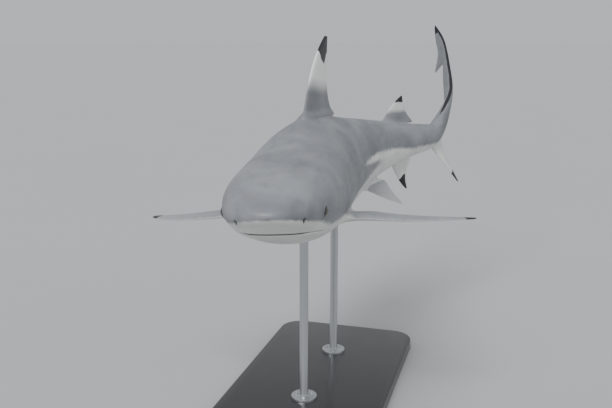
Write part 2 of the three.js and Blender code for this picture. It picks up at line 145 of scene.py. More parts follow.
def setCamera():
    data = bpy.data.cameras.new("camera")
    data.sensor_width = view["sensor"]
    data.lens = view["focalPixels"] / view["imageWidth"] * view["sensor"]
    camera = addObject("camera", data)
    camera.location = Vector(place((0, 0, 0))) + Vector(view["fromSnout"]) * shark["length"]
    camera.rotation_euler = (math.radians(90 - view["lookDown"]), 0, 0)
    bpy.context.scene.camera = camera


setCamera()
print("camera set")


def hexColour(text):  # "#rrggbb" as linear red, green, blue, alpha
    parts = [int(text[i:i + 2], 16) / 255 for i in (1, 3, 5)]
    return tuple(p / 12.92 if p <= 0.04045 else ((p + 0.055) / 1.055) ** 2.4 for p in parts) + (1,)


def addNode(tree, kind, inputs=None, result=None, **settings):
    # A socket given as an input is linked. Gives the node, or its output of the name or number asked for.
    # A Mix node takes its share at 0 and its colours at 6 and 7, and gives their mix at 2.
    node = tree.nodes.new("ShaderNode" + kind)
    for name, value in settings.items():
        setattr(node, name, value)
    for name, value in (inputs or {}).items():
        if isinstance(value, bpy.types.NodeSocket):
            tree.links.new(value, node.inputs[name])
        else:
            node.inputs[name].default_value = value
    return node if result is None else node.outputs[result]


def newMaterial(name):
    material = bpy.data.materials.new(name)
    material.use_nodes = True
    material.node_tree.nodes.clear()
    return material, material.node_tree


def perMetre(millimetres):  # a noise scale with features of about this size
    return 1000 / millimetres


skinFinish = {
    "back": "#6d7075", "backPale": "#84878c", "backDark": "#55585f",
    "belly": "#dddeda", "bellyDull": "#c6cac8",
    # crease is painted shade, put into the mouth's line, the nostrils, the gill slits and the lids
    "tip": "#121519", "band": "#eff0ed", "crease": "#2f3033", "pore": "#565b61",
    # sizes of the markings in mm, and the dark streaks, as how tight they lie across, along and up
    "blotch": 75, "freckle": 9, "grain": 1.8, "ragged": 24, "poreGap": 5, "streaks": (60, 14, 60),
    "wander": 0.25,  # how far the belly's edge wanders, as a share of its softness
    "tipWander": 4.5, "tipSoft": 1.4,  # how far a black tip's edge wanders, and how soft it is, in mm
    # for each veil, the noise behind it, the noise where it is clear and full, and how strong it gets
    "veils": {"cloudy": ("blotch", 0.35, 0.68, 1), "dull": ("blotch", 0.4, 0.7, 1),
              "streaky": ("streak", 0.5, 0.75, 0.4), "rayed": ("rays", 0.45, 0.75, 0.3),
              "speck": ("freckle", 0.58, 0.74, 0.16)},
    "relief": {"grain": 0.5, "ribs": 1.2, "pore": -0.8}, "bumpStrength": 0.25, "bumpHeight": 0.0006,
    "rough": (0.4, 0.54),
}


def sharkSkin():
    # Living shark skin: a satin grey back, slightly cloudy, over an off-white belly, with ink-black fin tips.
    # Its plates are 0.2 mm across, too fine to show, so the grain is drawn at 1.8 mm.
    look = skinFinish
    material, tree = newMaterial("sharkSkin")
    mark = {name: addNode(tree, "Attribute", result="Fac", attribute_name=name)
            for name in ("backShade", "tipMark", "bandMark", "creaseShadeMark", "poreMark", "finMark")}
    coords = addNode(tree, "Attribute", result="Vector", attribute_name="restPlace")
    finCoords = addNode(tree, "Attribute", result="Vector", attribute_name="finPlace")
    cloud = {}
    for name in ("blotch", "freckle", "grain", "ragged"):
        cloud[name] = addNode(tree, "TexNoise", {"Vector": coords, "Scale": perMetre(look[name]),
                                                 "Detail": 3.0}, "Fac")
    stretched = addNode(tree, "Mapping", {"Vector": coords, "Scale": look["streaks"]}, "Vector")
    cloud["streak"] = addNode(tree, "TexNoise", {"Vector": stretched, "Scale": 1.0, "Detail": 4.0}, "Fac")
    cloud["rays"] = addNode(tree, "TexNoise", {"Vector": finCoords, "Scale": 1.0, "Detail": 2.0}, "Fac")
    veil = {}
    for name, (source, clear, full, most) in look["veils"].items():
        veil[name] = addNode(tree, "MapRange", {"Value": cloud[source], "From Min": clear, "From Max": full,
                                                "To Max": most}, "Result")

    # the grey of the back: cloudy, with fine darker streaks along the body and rays across the fins
    rayed = addNode(tree, "Math", {0: veil["rayed"], 1: mark["finMark"]}, 0, operation="MULTIPLY")
    back = hexColour(look["back"])
    for share, colour in ((veil["cloudy"], "backPale"), (veil["streaky"], "backDark"), (rayed, "backDark")):
        back = addNode(tree, "Mix", {0: share, 6: back, 7: hexColour(look[colour])}, 2, data_type="RGBA")
    # the belly, and a wandering edge between the two
    belly = addNode(tree, "Mix", {0: veil["dull"], 6: hexColour(look["belly"]),
                                  7: hexColour(look["bellyDull"])}, 2, data_type="RGBA")
    wander = addNode(tree, "MapRange", {"Value": cloud["freckle"], "To Min": -look["wander"],
                                        "To Max": look["wander"]}, "Result")
    edge = addNode(tree, "Math", {0: mark["backShade"], 1: wander}, 0, operation="ADD")
    share = addNode(tree, "MapRange", {"Value": edge, "From Min": 0.2, "From Max": 0.8}, "Result",
                    interpolation_type="SMOOTHSTEP")
    skin = addNode(tree, "Mix", {0: share, 6: belly, 7: back}, 2, data_type="RGBA")
    # the black tips' ragged edges, and the snout's pores
    wobble = addNode(tree, "MapRange", {"Value": cloud["ragged"], "To Min": -look["tipWander"],
                                        "To Max": look["tipWander"]}, "Result")
    inked = addNode(tree, "Math", {0: mark["tipMark"], 1: wobble}, 0, operation="ADD")
    inked = addNode(tree, "MapRange", {"Value": inked, "From Min": -look["tipSoft"],
                                       "From Max": look["tipSoft"]}, "Result",
                    interpolation_type="SMOOTHSTEP")
    cells = addNode(tree, "TexVoronoi", {"Vector": coords, "Scale": perMetre(look["poreGap"])}, "Distance")
    pore = addNode(tree, "MapRange", {"Value": cells, "From Min": 0.16, "From Max": 0.08}, "Result")
    pore = addNode(tree, "Math", {0: pore, 1: mark["poreMark"]}, 0, operation="MULTIPLY")
    # over all that the specks, the white band, the tip, the pores, and the painted shade in the mouth,
    # nostrils, gills and lids
    for share, colour in ((veil["speck"], "backDark"), (mark["bandMark"], "band"), (inked, "tip"),
                          (pore, "pore"), (mark["creaseShadeMark"], "crease")):
        skin = addNode(tree, "Mix", {0: share, 6: skin, 7: hexColour(look[colour])}, 2, data_type="RGBA")

    ribs = addNode(tree, "Math", {0: cloud["rays"], 1: mark["finMark"]}, 0, operation="MULTIPLY")
    relief = cloud["streak"]
    for part, name in ((cloud["grain"], "grain"), (ribs, "ribs"), (pore, "pore")):
        relief = addNode(tree, "Math", {0: part, 1: look["relief"][name], 2: relief}, 0,
                         operation="MULTIPLY_ADD")
    bump = addNode(tree, "Bump", {"Height": relief, "Strength": look["bumpStrength"],
                                  "Distance": look["bumpHeight"]}, "Normal")
    smooth, dry = look["rough"]
    rough = addNode(tree, "MapRange", {"Value": cloud["grain"], "To Min": smooth, "To Max": dry}, "Result")
    shader = addNode(tree, "BsdfPrincipled", {
        "Base Color": skin, "Roughness": rough, "Normal": bump, "Specular IOR Level": 0.45,
        "Subsurface Weight": 0.04, "Subsurface Scale": 0.01}, "BSDF")
    addNode(tree, "OutputMaterial", {"Surface": shader})
    return material


body = {
    "columns": 40,
    # share of the length, half width, back height, belly depth, and how peaked the back and underside are
    "stations": [
        (0, 0, 0, 0, 0.9, 0.72),
        (0.004, 0.0148, 0.0062, 0.0058, 0.9, 0.72),
        (0.03, 0.0385, 0.0172, 0.0138, 0.9, 0.76),  # nostrils
        (0.075, 0.0498, 0.0305, 0.0268, 0.9, 0.9),  # eyes
        (0.12, 0.0588, 0.0415, 0.0405, 0.9, 0.95),  # jaw corners
        (0.2, 0.0645, 0.0565, 0.0525, 0.94, 0.93),  # gills
        (0.31, 0.0655, 0.0765, 0.061, 1.06, 0.92),  # first dorsal fin
        (0.42, 0.0598, 0.0715, 0.061, 1.04, 0.94),
        (0.52, 0.047, 0.058, 0.052, 1, 0.96),  # vent
        (0.63, 0.0302, 0.0402, 0.0356, 0.93, 1),  # second dorsal fin
        (0.7, 0.0202, 0.0285, 0.0251, 0.92, 1),
        (0.757, 0.0145, 0.0215, 0.0198, 0.92, 1),  # root of the tail fin
    ],
    "nose": [0.0003, 0.0012, 0.0028, 0.0055, 0.0095, 0.015, 0.0215, 0.0285, 0.0365, 0.046, 0.057],
    "cheek": [0.0685, 0.0785, 0.0885, 0.1, 0.113, 0.127, 0.142, 0.157, 0.17, 0.183, 0.196],
    "between": [0.2855, 0.43, 0.452, 0.475, 0.565, 0.584, 0.603, 0.7, 0.72, 0.74],
}
bodyCurves = [smoothCurve([(math.sqrt(row[0]), row[k]) for row in body["stations"]]) for k in range(1, 6)]

upperLobe = {
    # share of the lobe, depth, half thickness, how far down the ridge lies, and the pinch below it
    "stations": [
        (0, 0.0413, 0.0145, 0.52, 1),
        (0.15, 0.0556, 0.0102, 0.34, 1.9),
        (0.3, 0.0499, 0.006, 0.27, 2.6),
        (0.52, 0.0451, 0.0042, 0.27, 2.6),
        (0.67, 0.0372, 0.0036, 0.28, 2.4),
        (0.727, 0.0278, 0.0032, 0.34, 2.2),  # notch before the terminal lobe
        (0.768, 0.064, 0.0029, 0.2, 2.4),
        (0.825, 0.0305, 0.0026, 0.27, 2.3),
        (0.9, 0.0225, 0.0022, 0.28, 2.2),
        (1, 0.003, 0.0009, 0.5, 1),
    ],
    "root": (0.757, 0.0215), "bend": (0.8494, 0.0973), "tip": (0.943, 0.1905),
    "tilt": 36.4, "tiltDone": 0.32,
    "rings": [0, 0.032, 0.064, 0.096, 0.128, 0.16, 0.2, 0.26, 0.33, 0.41, 0.5, 0.58, 0.645, 0.692,
              0.723, 0.744, 0.763, 0.781, 0.81, 0.86, 0.905, 0.94, 0.965, 0.985],
    "webFrom": 0.2, "webCrease": 0.9,
}
lobeCurves = [smoothCurve([(row[0], row[k]) for row in upperLobe["stations"]]) for k in range(1, 5)]


def bodyRing(at):
    side, back, belly, top, under = (float(curve(math.sqrt(max(at, 0)))) for curve in bodyCurves)
    return {"at": at, "up": 0, "lean": 0, "side": side, "back": back, "belly": belly,
            "top": top, "under": under, "pinch": 1}


def lobeMargin(along):  # the back edge of the tail's upper lobe
    root, bend, tip = (np.array(upperLobe[key]) for key in ("root", "bend", "tip"))
    return (1 - along) ** 2 * root + 2 * along * (1 - along) * bend + along ** 2 * tip


def lobeRing(along):
    edge = lobeMargin(along)
    settled = float(smoothStep(along, 0, upperLobe["tiltDone"]))
    lean = math.radians(upperLobe["tilt"]) * settled
    depth, side, ridge, pinch = (float(curve(along)) for curve in lobeCurves)
    back = depth * ridge
    top = bodyRing(upperLobe["root"][0])["top"] * (1 - settled) + settled
    return {"at": edge[0] + back * math.sin(lean), "up": edge[1] - back * math.cos(lean), "lean": lean,
            "side": side, "back": back, "belly": depth - back, "top": top, "under": 1, "pinch": pinch}


def ringPoint(ring, turn):  # turn is in radians from the left side over the back
    across, height = math.cos(turn), math.sin(turn)
    peak = ring["top"] if height > 0 else ring["under"]
    power = peak * (1 if height > 0 else ring["pinch"])
    out = ring["side"] * math.copysign(abs(across) ** power, across)
    up = (ring["back"] if height > 0 else ring["belly"]) * math.copysign(abs(height) ** peak, height)
    return Vector((out, ring["at"] - up * math.sin(ring["lean"]), ring["up"] + up * math.cos(ring["lean"])))


topColumn, underColumn = 10, 30  # the body's columns along its back and its belly; 0 is the left side

# Places and sizes are shares of the shark's length. `from` and `base` place a root, `rear` is the free rear
# tip behind it, `tip` and `span` the apex, and `tipChord` its width. `straight` is how straight the front
# edge is, `hollow` how far the hind edge is scooped out, and a low `scoop` puts that nearer the root.
# `column` is the body's column under the root and `slope` the way the fin grows, in degrees from level
# outwards. `bow` is how far it sags at the tip, `lift` how far it sits higher, `incidence` how far its hind
# edge hangs, in degrees, and `twist` how much of that is lost at the tip. `faces` is how many faces of the
# body it grows from. `rearUp`, the rear tip's height, and `levels` are shares of the span.
fins = {
    "firstDorsal": {
        "from": 0.302, "base": 0.108, "rear": 0.058, "rearUp": 0.03, "tip": 0.4385, "span": 0.109,
        "tipChord": 0.013, "hollow": 0.026, "scoop": 0.55, "straight": 0.62, "thick": 0.0062,
        "tipThick": 0.002, "column": topColumn, "side": 1, "slope": 90, "faces": 8,
        "levels": [0.03, 0.08, 0.14, 0.22, 0.33, 0.46, 0.6, 0.73, 0.84, 0.93, 0.98, 1.01]},
    "secondDorsal": {
        "from": 0.622, "base": 0.05, "rear": 0.032, "rearUp": 0.06, "tip": 0.6765, "span": 0.044,
        "tipChord": 0.004, "hollow": 0.009, "straight": 0.8, "thick": 0.0034, "tipThick": 0.0008,
        "column": topColumn, "side": 1, "slope": 90, "faces": 5,
        "levels": [0.03, 0.08, 0.2, 0.38, 0.56, 0.74, 0.88, 0.97, 1.02]},
    "anal": {
        "from": 0.642, "base": 0.04, "rear": 0.013, "rearUp": 0.12, "tip": 0.681, "span": 0.0505,
        "tipChord": 0.004, "hollow": 0.011, "straight": 0.75, "thick": 0.0034, "tipThick": 0.0008,
        "column": underColumn, "side": 1, "slope": -90, "faces": 4,
        "levels": [0.06, 0.12, 0.22, 0.38, 0.56, 0.74, 0.88, 0.97, 1.02]},
    "lowerLobe": {
        "from": 0.756, "base": 0.056, "rear": 0.001, "rearUp": 0.02, "tip": 0.812, "span": 0.0765,
        "tipChord": 0.006, "hollow": 0.005, "straight": 0.9, "thick": 0.0042, "tipThick": 0.0011,
        "column": underColumn, "side": 1, "slope": -55, "faces": 5,
        "levels": [0.06, 0.14, 0.26, 0.4, 0.55, 0.7, 0.84, 0.95, 1.01]},
    "pectoralLeft": {
        "from": 0.209, "base": 0.062, "rear": 0.046, "rearUp": 0.17, "tip": 0.324, "span": 0.154,
        "tipChord": 0.008, "hollow": 0.02, "straight": 0.72, "thick": 0.0053, "tipThick": 0.001,
        "bow": -0.0044, "lift": 0.0018, "incidence": 4, "twist": 5.5, "column": 37, "side": 1, "slope": -6.9,
        "faces": 6,
        "levels": [0.03, 0.09, 0.17, 0.24, 0.34, 0.46, 0.59, 0.72, 0.83, 0.92, 0.98, 1.01]},
    "pelvicLeft": {
        "from": 0.497, "base": 0.05, "rear": 0.024, "rearUp": 0.25, "tip": 0.556, "span": 0.056,
        "tipChord": 0.007, "hollow": 0.004, "straight": 0.85, "thick": 0.0042, "tipThick": 0.0009,
        "column": 34, "side": 1, "slope": -40, "faces": 5,
        "levels": [0.06, 0.14, 0.25, 0.4, 0.57, 0.74, 0.88, 0.97, 1.02]},
}
fins["pectoralRight"] = {**fins["pectoralLeft"], "column": 23, "side": -1, "slope": -9.7,
                         "bow": 0.002, "lift": 0.0039}
fins["pelvicRight"] = {**fins["pelvicLeft"], "column": 26, "side": -1}
# a fin's root is thickened by this share, which fades over this share of the span, and its section is fullest
# ahead of its middle
finSection = {"fillet": 0.8, "filletHeight": 0.07, "middle": 0.78, "front": 0.3,
              "frontCrease": 0.35, "hindCrease": 1}


def frontEdge(fin, height):
    sweep = fin["tip"] - fin["tipChord"] - fin["from"]
    return fin["from"] + sweep * (fin["straight"] * height + (1 - fin["straight"]) * height ** 3)


def hindEdge(fin, height):
    insertion = fin["from"] + fin["base"]
    if height < fin["rearUp"]:
        return insertion + fin["rear"] * math.sqrt(max(height, 0) / fin["rearUp"])
    share = min((height - fin["rearUp"]) / (1 - fin["rearUp"]), 1)
    rearTip = insertion + fin["rear"]
    scoop = fin["hollow"] * math.sin(math.pi * share ** fin.get("scoop", 0.8))
    return rearTip + (fin["tip"] - rearTip) * share - scoop


def finPoint(fin, height, turn, bulge=1):  # turn runs from the front edge over one face to the hind edge
    front, hind = frontEdge(fin, height), hindEdge(fin, height)
    at = front + (hind - front) * (0.5 - 0.5 * math.cos(turn))
    angle = fin["column"] * 2 * math.pi / body["columns"]
    root = ringPoint(bodyRing(min(at, upperLobe["root"][0])), angle)
    slope = math.radians(fin["slope"])
    fillet = 1 + finSection["fillet"] * math.exp(-height / finSection["filletHeight"])
    half = (fin["thick"] * (1 - height) + fin["tipThick"] * height) * fillet * bulge
    thick = max(half, 0) * math.sin(turn) * (finSection["middle"] + finSection["front"] * math.cos(turn))
    far = fin["span"] * height
    tilt = math.radians(fin.get("incidence", 0) - fin.get("twist", 0) * height)
    sag = fin.get("bow", 0) * height ** 2 + (at - front) * math.tan(tilt) - fin.get("lift", 0)
    start = 0 if fin["column"] in (topColumn, underColumn) else abs(root.x)
    out = start + far * math.cos(slope) - thick * math.sin(slope)
    return Vector((fin["side"] * out, at, root.z + far * math.sin(slope) + thick * math.cos(slope) - sag))


eye = {
    "at": 0.0785, "up": -0.0022,  # shares of the shark's length; what follows is in metres
    "radius": 0.0115, "proud": 0.0031, "halfLong": 0.0091, "halfTall": 0.0077,
    "long": 1.12, "tall": 0.97, "fit": 0.99,  # the ball's stretch, and how closely it fills its socket
    "corneaRise": 0.05, "corneaWide": 0.6,  # shares of the ball's radius
    "lidEdge": (1.12, 0.98),  # the shares of its half size between which the painted shade on the opening's rim fades in
    # the lid's rings, from its root on the skin down into the socket: their size and how far out they stand
    "lidRoot": (1.5, 0.0002), "lid": ((1.2, 0.0012), (1.04, 0.0013), (0.96, 0.0003), (0.86, -0.005)),
}


def skinOut(at, up):  # how far out the body's left side is
    ring = bodyRing(at)
    tall, peak = (ring["back"], ring["top"]) if up > 0 else (ring["belly"], ring["under"])
    return ring["side"] * math.cos(math.asin(min(abs(up) / tall, 1) ** (1 / peak))) ** peak


def eyeFacing():  # the way out of the skin at the left eye: out, tailwards, up
    at, up = eye["at"], eye["up"]
    step = 0.004
    narrower = (skinOut(at + step, up) - skinOut(at - step, up)) / (2 * step)
    flatter = (skinOut(at, up + step) - skinOut(at, up - step)) / (2 * step)
    return Vector((1, -narrower, -flatter)).normalized()


facing = eyeFacing()
# the lids open over the part of the ball that stands out of the skin
eye["lidAt"] = eye["at"] + facing.y * eye["radius"] / shark["length"]
eye["lidUp"] = eye["up"] + facing.z * eye["radius"] / shark["length"]


def evenPlaces(first, length, count):
    return [first + length * i / count for i in range(count + 1)]


def ringPlaces():
    places = body["nose"] + body["cheek"] + body["between"]
    for name in ("firstDorsal", "secondDorsal", "pectoralLeft", "pelvicLeft"):
        places += evenPlaces(fins[name]["from"], fins[name]["base"], fins[name]["faces"])
    places.append(fins["anal"]["from"] + fins["anal"]["base"])
    return sorted(places)


def nearest(places, value):
    return min(range(len(places)), key=lambda i: abs(places[i] - value))


def growTube(bm, layers, rings):
    count = body["columns"]
    made = bmesh.ops.create_circle(bm, cap_ends=True, cap_tris=True, segments=count, radius=1)["verts"]
    loop = [v for v in made if v.co.length > 0.5]
    for v in loop:
        v[layers["column"]] = round(math.atan2(v.co.y, v.co.x) / (2 * math.pi / count)) % count
    nose = next(v for v in made if v not in loop)
    nose[layers["column"]] = -1
    nose.co = (0, 0, 0)
    edges = [e for e in bm.edges if nose not in e.verts]
    for index, ring in enumerate(rings):
        if index:
            grown = bmesh.ops.extrude_edge_only(bm, edges=edges)["geom"]
            loop = [g for g in grown if isinstance(g, bmesh.types.BMVert)]
            edges = [g for g in grown if isinstance(g, bmesh.types.BMEdge) and g.is_boundary]
        for v in loop:
            v[layers["station"]] = index
            v.co = ringPoint(ring, v[layers["column"]] * 2 * math.pi / count)
    cap = bmesh.ops.edgeloop_fill(bm, edges=edges)["faces"]
    tailTip = bmesh.ops.poke(bm, faces=cap)["verts"][0]
    tailTip[layers["column"]] = -1
    tailTip.co = (0, upperLobe["tip"][0], upperLobe["tip"][1])


def growRegion(bm, faces):  # lifts a patch of faces and returns the new patch
    geom = set(faces)
    for face in faces:
        geom.update(face.verts)
        geom.update(face.edges)
    made = bmesh.ops.extrude_face_region(bm, geom=list(geom))["geom"]
    old = [f for f in faces if f.is_valid]
    if old:
        bmesh.ops.delete(bm, geom=old, context="FACES_ONLY")
    return [g for g in made if isinstance(g, bmesh.types.BMFace)]


def patch(bm, layers, columns, stations):
    count = body["columns"]
    wanted = {(column % count, station) for column in columns for station in stations}

    def inside(v):
        return v[layers["level"]] == 0 and (v[layers["column"]], v[layers["station"]]) in wanted

    return [f for f in bm.faces if all(inside(v) for v in f.verts)]


def growFin(bm, layers, fin, first):  # first is the station of the root's front
    count, middle = fin["faces"], fin["column"]
    region = patch(bm, layers, (middle - 1, middle, middle + 1), range(first, first + count + 1))
    for level, height in enumerate(fin["levels"], start=1):
        region = growRegion(bm, region)
        for v in {v for face in region for v in face.verts}:
            v[layers["level"]] = level
            step = v[layers["station"]] - first
            offset = (v[layers["column"]] - middle + 2) % body["columns"] - 2
            turn = math.pi * (step + 1) / (count + 2)
            if offset == 0 and step in (0, count):
                turn = 0 if step == 0 else math.pi
                v[layers["edge"]] = 1 if step == 0 else 2
            v.co = finPoint(fin, height, turn * (offset * fin["side"] or 1), abs(offset))


def sinkEye(bm, layers, side, station):
    count = body["columns"]
    middle = 0 if side > 0 else count // 2
    region = patch(bm, layers, (middle - 1, middle, middle + 1), range(station - 1, station + 2))
    length = shark["length"]

    def lay(verts, scale, lift):
        for v in verts:
            tail = v[layers["station"]] - station
            rise = ((v[layers["column"]] - middle + 2) % count - 2) * side
            size = scale / (math.hypot(tail, rise) or 1)
            at = eye["lidAt"] + tail * size * eye["halfLong"] / length
            up = eye["lidUp"] + rise * size * eye["halfTall"] / length
            spot = Vector((skinOut(at, up), at, up)) + facing * lift / length
            v.co = (side * spot.x, spot.y, spot.z)

    lay({v for face in region for v in face.verts}, *eye["lidRoot"])
    for scale, lift in eye["lid"]:
        region = growRegion(bm, region)
        lay({v for face in region for v in face.verts}, scale, lift)


def creaseEdges(bm, layers, webStart):  # keeps the fins' hind edges and the tail's lower web thin
    crease = bm.edges.layers.float.new("crease_edge")
    for e in bm.edges:
        kinds = {v[layers["edge"]] for v in e.verts}
        if kinds == {2}:
            e[crease] = finSection["hindCrease"]
        elif kinds == {1}:
            e[crease] = finSection["frontCrease"]
        web = all(v[layers["column"]] == underColumn and v[layers["station"]] > webStart for v in e.verts)
        if web and all(v[layers["level"]] == 0 for v in e.verts):
            e[crease] = upperLobe["webCrease"]


def buildCage():
    bm = bmesh.new()
    layers = {key: bm.verts.layers.int.new(key) for key in ("column", "station", "level", "edge")}
    places = ringPlaces()
    rings = [bodyRing(at) for at in places] + [lobeRing(along) for along in upperLobe["rings"]]
    growTube(bm, layers, rings)
    for side in (1, -1):
        sinkEye(bm, layers, side, nearest(places, eye["at"]))
    for name, fin in fins.items():
        first = len(places) if name == "lowerLobe" else nearest(places, fin["from"])
        growFin(bm, layers, fin, first)
    creaseEdges(bm, layers, len(places) + upperLobe["rings"].index(upperLobe["webFrom"]))
    bmesh.ops.recalc_face_normals(bm, faces=bm.faces)
    bmesh.ops.scale(bm, vec=(shark["length"],) * 3, verts=bm.verts)
    return bm


def subdivided(bm, levels):
    cage = addMesh("cage", bm)
    mesh = cage.data
    surface = cage.modifiers.new("smooth", "SUBSURF")
    surface.levels = surface.render_levels = levels
    smooth = bmesh.new()
    smooth.from_object(cage, bpy.context.evaluated_depsgraph_get())
    bpy.data.objects.remove(cage)
    bpy.data.meshes.remove(mesh)
    return smooth


cageMesh = buildCage()
print("cage:", len(cageMesh.faces), "faces")
skinMesh = subdivided(cageMesh, 2)
print("skin:", len(skinMesh.faces), "faces")


millimetre = 0.001
# Places and the half width of the mouth are shares of the shark's length, and heights, depths and the widths
# of folds are in mm. A pair of numbers is where a fold fades in, or its middle and its width.
mouth = {
    "front": 0.0622, "corner": 0.114, "halfWidth": 0.0455, "bend": 2.5,
    "ends": (1.06, 0.95),  # the shares of the half width between which the line fades in
    "fullWithin": (0.85, 0.5), "cornerFull": 0.3,  # where the lips grow full, and how full the corners are
    "upperLip": 0.3, "upperRoll": (-3, 2.4), "lowerLip": 2.4, "lowerRise": (0.2, 3.6), "lowerFall": (16, 4.5),
    "deep": 1.4, "wide": 0.9, "fineAt": 1,
    # where the painted shade along the line starts, and where it ends with the lips thin, and how much
    # farther with them full
    "shadeStarts": (-1, 0), "shadeEnds": ((0.8, 2.0), (0.4, 0.9)),
}
# a nostril runs from its open outer end to its inner one, each a place along and a turn round the head
nostril = {
    "outer": (0.0197, -20), "inner": (0.0305, -47), "halfWide": 1.9, "deep": 3.6, "reach": 16,
    "outerWide": 1.3, "taper": 0.6,  # the width's factor at the outer end, and what the inner end loses of it
    "starts": (-0.12, 0.06), "ends": (1.1, 0.9), "sides": (1.15, 0.4),
    "rim": 0.6, "rimOut": 1.6, "rimWide": 1.5, "rimStarts": (-0.3, 0.1), "rimEnds": (1.3, 0.9),
    "flap": 1.5, "flapAt": (0.55, 0.2), "flapAhead": (1.2, 1.6), "flapFills": 0.7,
}
gills = {
    "first": 0.168, "last": 0.2145, "count": 5, "top": 0.02, "bottom": -0.017, "bow": 3.5, "shorter": 0.06,
    "flank": (0.03, 0.072), "lid": 1.8, "lidLong": 5, "lidDrops": (0.8, -0.3), "deep": 2.6, "behind": 1.2,
    "wide": 1.0, "fineAt": 0.7,
}
# widths in mm of the bands whose faces are quartered, in three rounds; `fineAt` is how far behind the mouth's
# line, or behind a slit's front edge, the middle of a band lies
fineBands = ({"mouth": 6, "nostril": 12, "gill": 3}, {"mouth": 3, "nostril": 8.5, "gill": 1.8},
             {"mouth": 1.8, "nostril": 5, "gill": 0})


def hump(x, centre, width):
    return np.exp(-((x - centre) / width) ** 2)


def mouthGap(points):  # mm behind the mouth's line, 1 inside its width, and how full the lips are
    length = shark["length"]
    across = np.abs(points[:, 0]) / (mouth["halfWidth"] * length)
    sweep = (mouth["corner"] - mouth["front"]) * length
    line = mouth["front"] * length + sweep * across ** mouth["bend"]
    slope = mouth["bend"] * sweep * across ** (mouth["bend"] - 1) / (mouth["halfWidth"] * length)
    gap = (points[:, 1] - line) / np.sqrt(1 + slope ** 2) / millimetre
    below = points[:, 2] < 0
    full = mouth["cornerFull"] + (1 - mouth["cornerFull"]) * smoothStep(across, *mouth["fullWithin"])
    return gap, below * smoothStep(across, *mouth["ends"]), below * full


def nostrilFrame():  # its ends in mm, and the ways along it and across it on the skin
    def spot(at, turn):
        return np.array(ringPoint(bodyRing(at), math.radians(turn))) * shark["length"] / millimetre

    outer, inner = spot(*nostril["outer"]), spot(*nostril["inner"])
    at, turn = (np.array(nostril["outer"]) + np.array(nostril["inner"])) / 2
    around = spot(at, turn + 1) - spot(at, turn - 1)
    outwards = np.cross(around, spot(at + 0.001, turn) - spot(at - 0.001, turn))
    along = (inner - outer) / np.linalg.norm(inner - outer)
    ahead = np.cross(along, outwards)
    ahead *= -math.copysign(1, ahead[1]) / np.linalg.norm(ahead)
    return outer, inner, along, ahead


nostrilOuter, nostrilInner, nostrilAlong, nostrilAhead = nostrilFrame()


def nostrilPlace(points):  # share of the way along the slot, mm ahead of it, and mm off its ends' middle
    local = np.column_stack((np.abs(points[:, 0]), points[:, 1:])) / millimetre
    reach = np.linalg.norm(nostrilInner - nostrilOuter)
    share = (local - nostrilOuter) @ nostrilAlong / reach
    off = np.linalg.norm(local - (nostrilInner + nostrilOuter) / 2, axis=1)
    return share, (local - nostrilOuter) @ nostrilAhead, off


def nostrilSlot(points):  # 1 in the slot, 0 outside it
    share, ahead, off = nostrilPlace(points)
    wide = nostril["halfWide"] * (nostril["outerWide"] - nostril["taper"] * share)
    ends = smoothStep(share, *nostril["starts"]) * smoothStep(share, *nostril["ends"])
    return ends * smoothStep(np.abs(ahead) / wide, *nostril["sides"]) * (off < nostril["reach"])


def gillGaps(points):  # for each slit, mm behind it, and 1 inside its ends
    length = shark["length"]
    inner, outer = gills["flank"]
    flank = (np.abs(points[:, 0]) > inner * length) & (np.abs(points[:, 0]) < outer * length)
    for i in range(gills["count"]):
        at = gills["first"] + (gills["last"] - gills["first"]) * i / (gills["count"] - 1)
        half = (gills["top"] - gills["bottom"]) / 2 * (1 - gills["shorter"] * i) * length
        middle = (gills["top"] + gills["bottom"]) / 2 * length
        share = (points[:, 2] - middle) / half
        behind = (points[:, 1] - at * length) / millimetre - gills["bow"] * share ** 2
        yield behind, smoothStep(np.abs(share), 1.0, 0.75) * flank


def refine(bm, band):  # quarters the faces near the mouth, nostrils and gills
    points = np.array([v.co for v in bm.verts])
    gap, inside, _ = mouthGap(points)
    wanted = (np.abs(gap - mouth["fineAt"]) < band["mouth"]) & (inside > 0)
    wanted |= nostrilPlace(points)[2] < band["nostril"]
    for behind, inside in gillGaps(points):
        wanted |= (np.abs(behind - gills["fineAt"]) < band["gill"]) & (inside > 0)
    bm.verts.ensure_lookup_table()
    faces = {f for i in np.flatnonzero(wanted) for f in bm.verts[i].link_faces}
    edges = list({e for f in faces for e in f.edges})
    bmesh.ops.subdivide_edges(bm, edges=edges, cuts=1, use_grid_fill=True)


for band in fineBands:
    refine(skinMesh, band)
print("refined:", len(skinMesh.faces), "faces")


def headRelief(points):  # how far each point of the skin moves out, in mm
    gap, inside, full = mouthGap(points)
    lips = mouth["upperLip"] * hump(gap, *mouth["upperRoll"]) - mouth["deep"] * hump(gap, 0, mouth["wide"])
    lowerLip = mouth["lowerLip"] * smoothStep(gap, *mouth["lowerRise"]) * smoothStep(gap, *mouth["lowerFall"])
    move = (lips + lowerLip * full) * inside
    share, ahead, off = nostrilPlace(points)
    rim = nostril["rim"] * hump(np.abs(ahead), nostril["halfWide"] + nostril["rimOut"], nostril["rimWide"])
    rim *= smoothStep(share, *nostril["rimStarts"]) * smoothStep(share, *nostril["rimEnds"])
    flapPlace = hump(share, *nostril["flapAt"])
    flap = nostril["flap"] * flapPlace * hump(ahead, *nostril["flapAhead"])
    move += (rim + flap) * (off < nostril["reach"])
    move -= nostril["deep"] * nostrilSlot(points) * (1 - nostril["flapFills"] * flapPlace)
    for behind, inside in gillGaps(points):
        lid = gills["lid"] * np.exp(np.minimum(behind, 0) / gills["lidLong"])
        lid *= smoothStep(behind, *gills["lidDrops"])
        move += (lid - gills["deep"] * hump(behind, gills["behind"], gills["wide"])) * inside
    return move


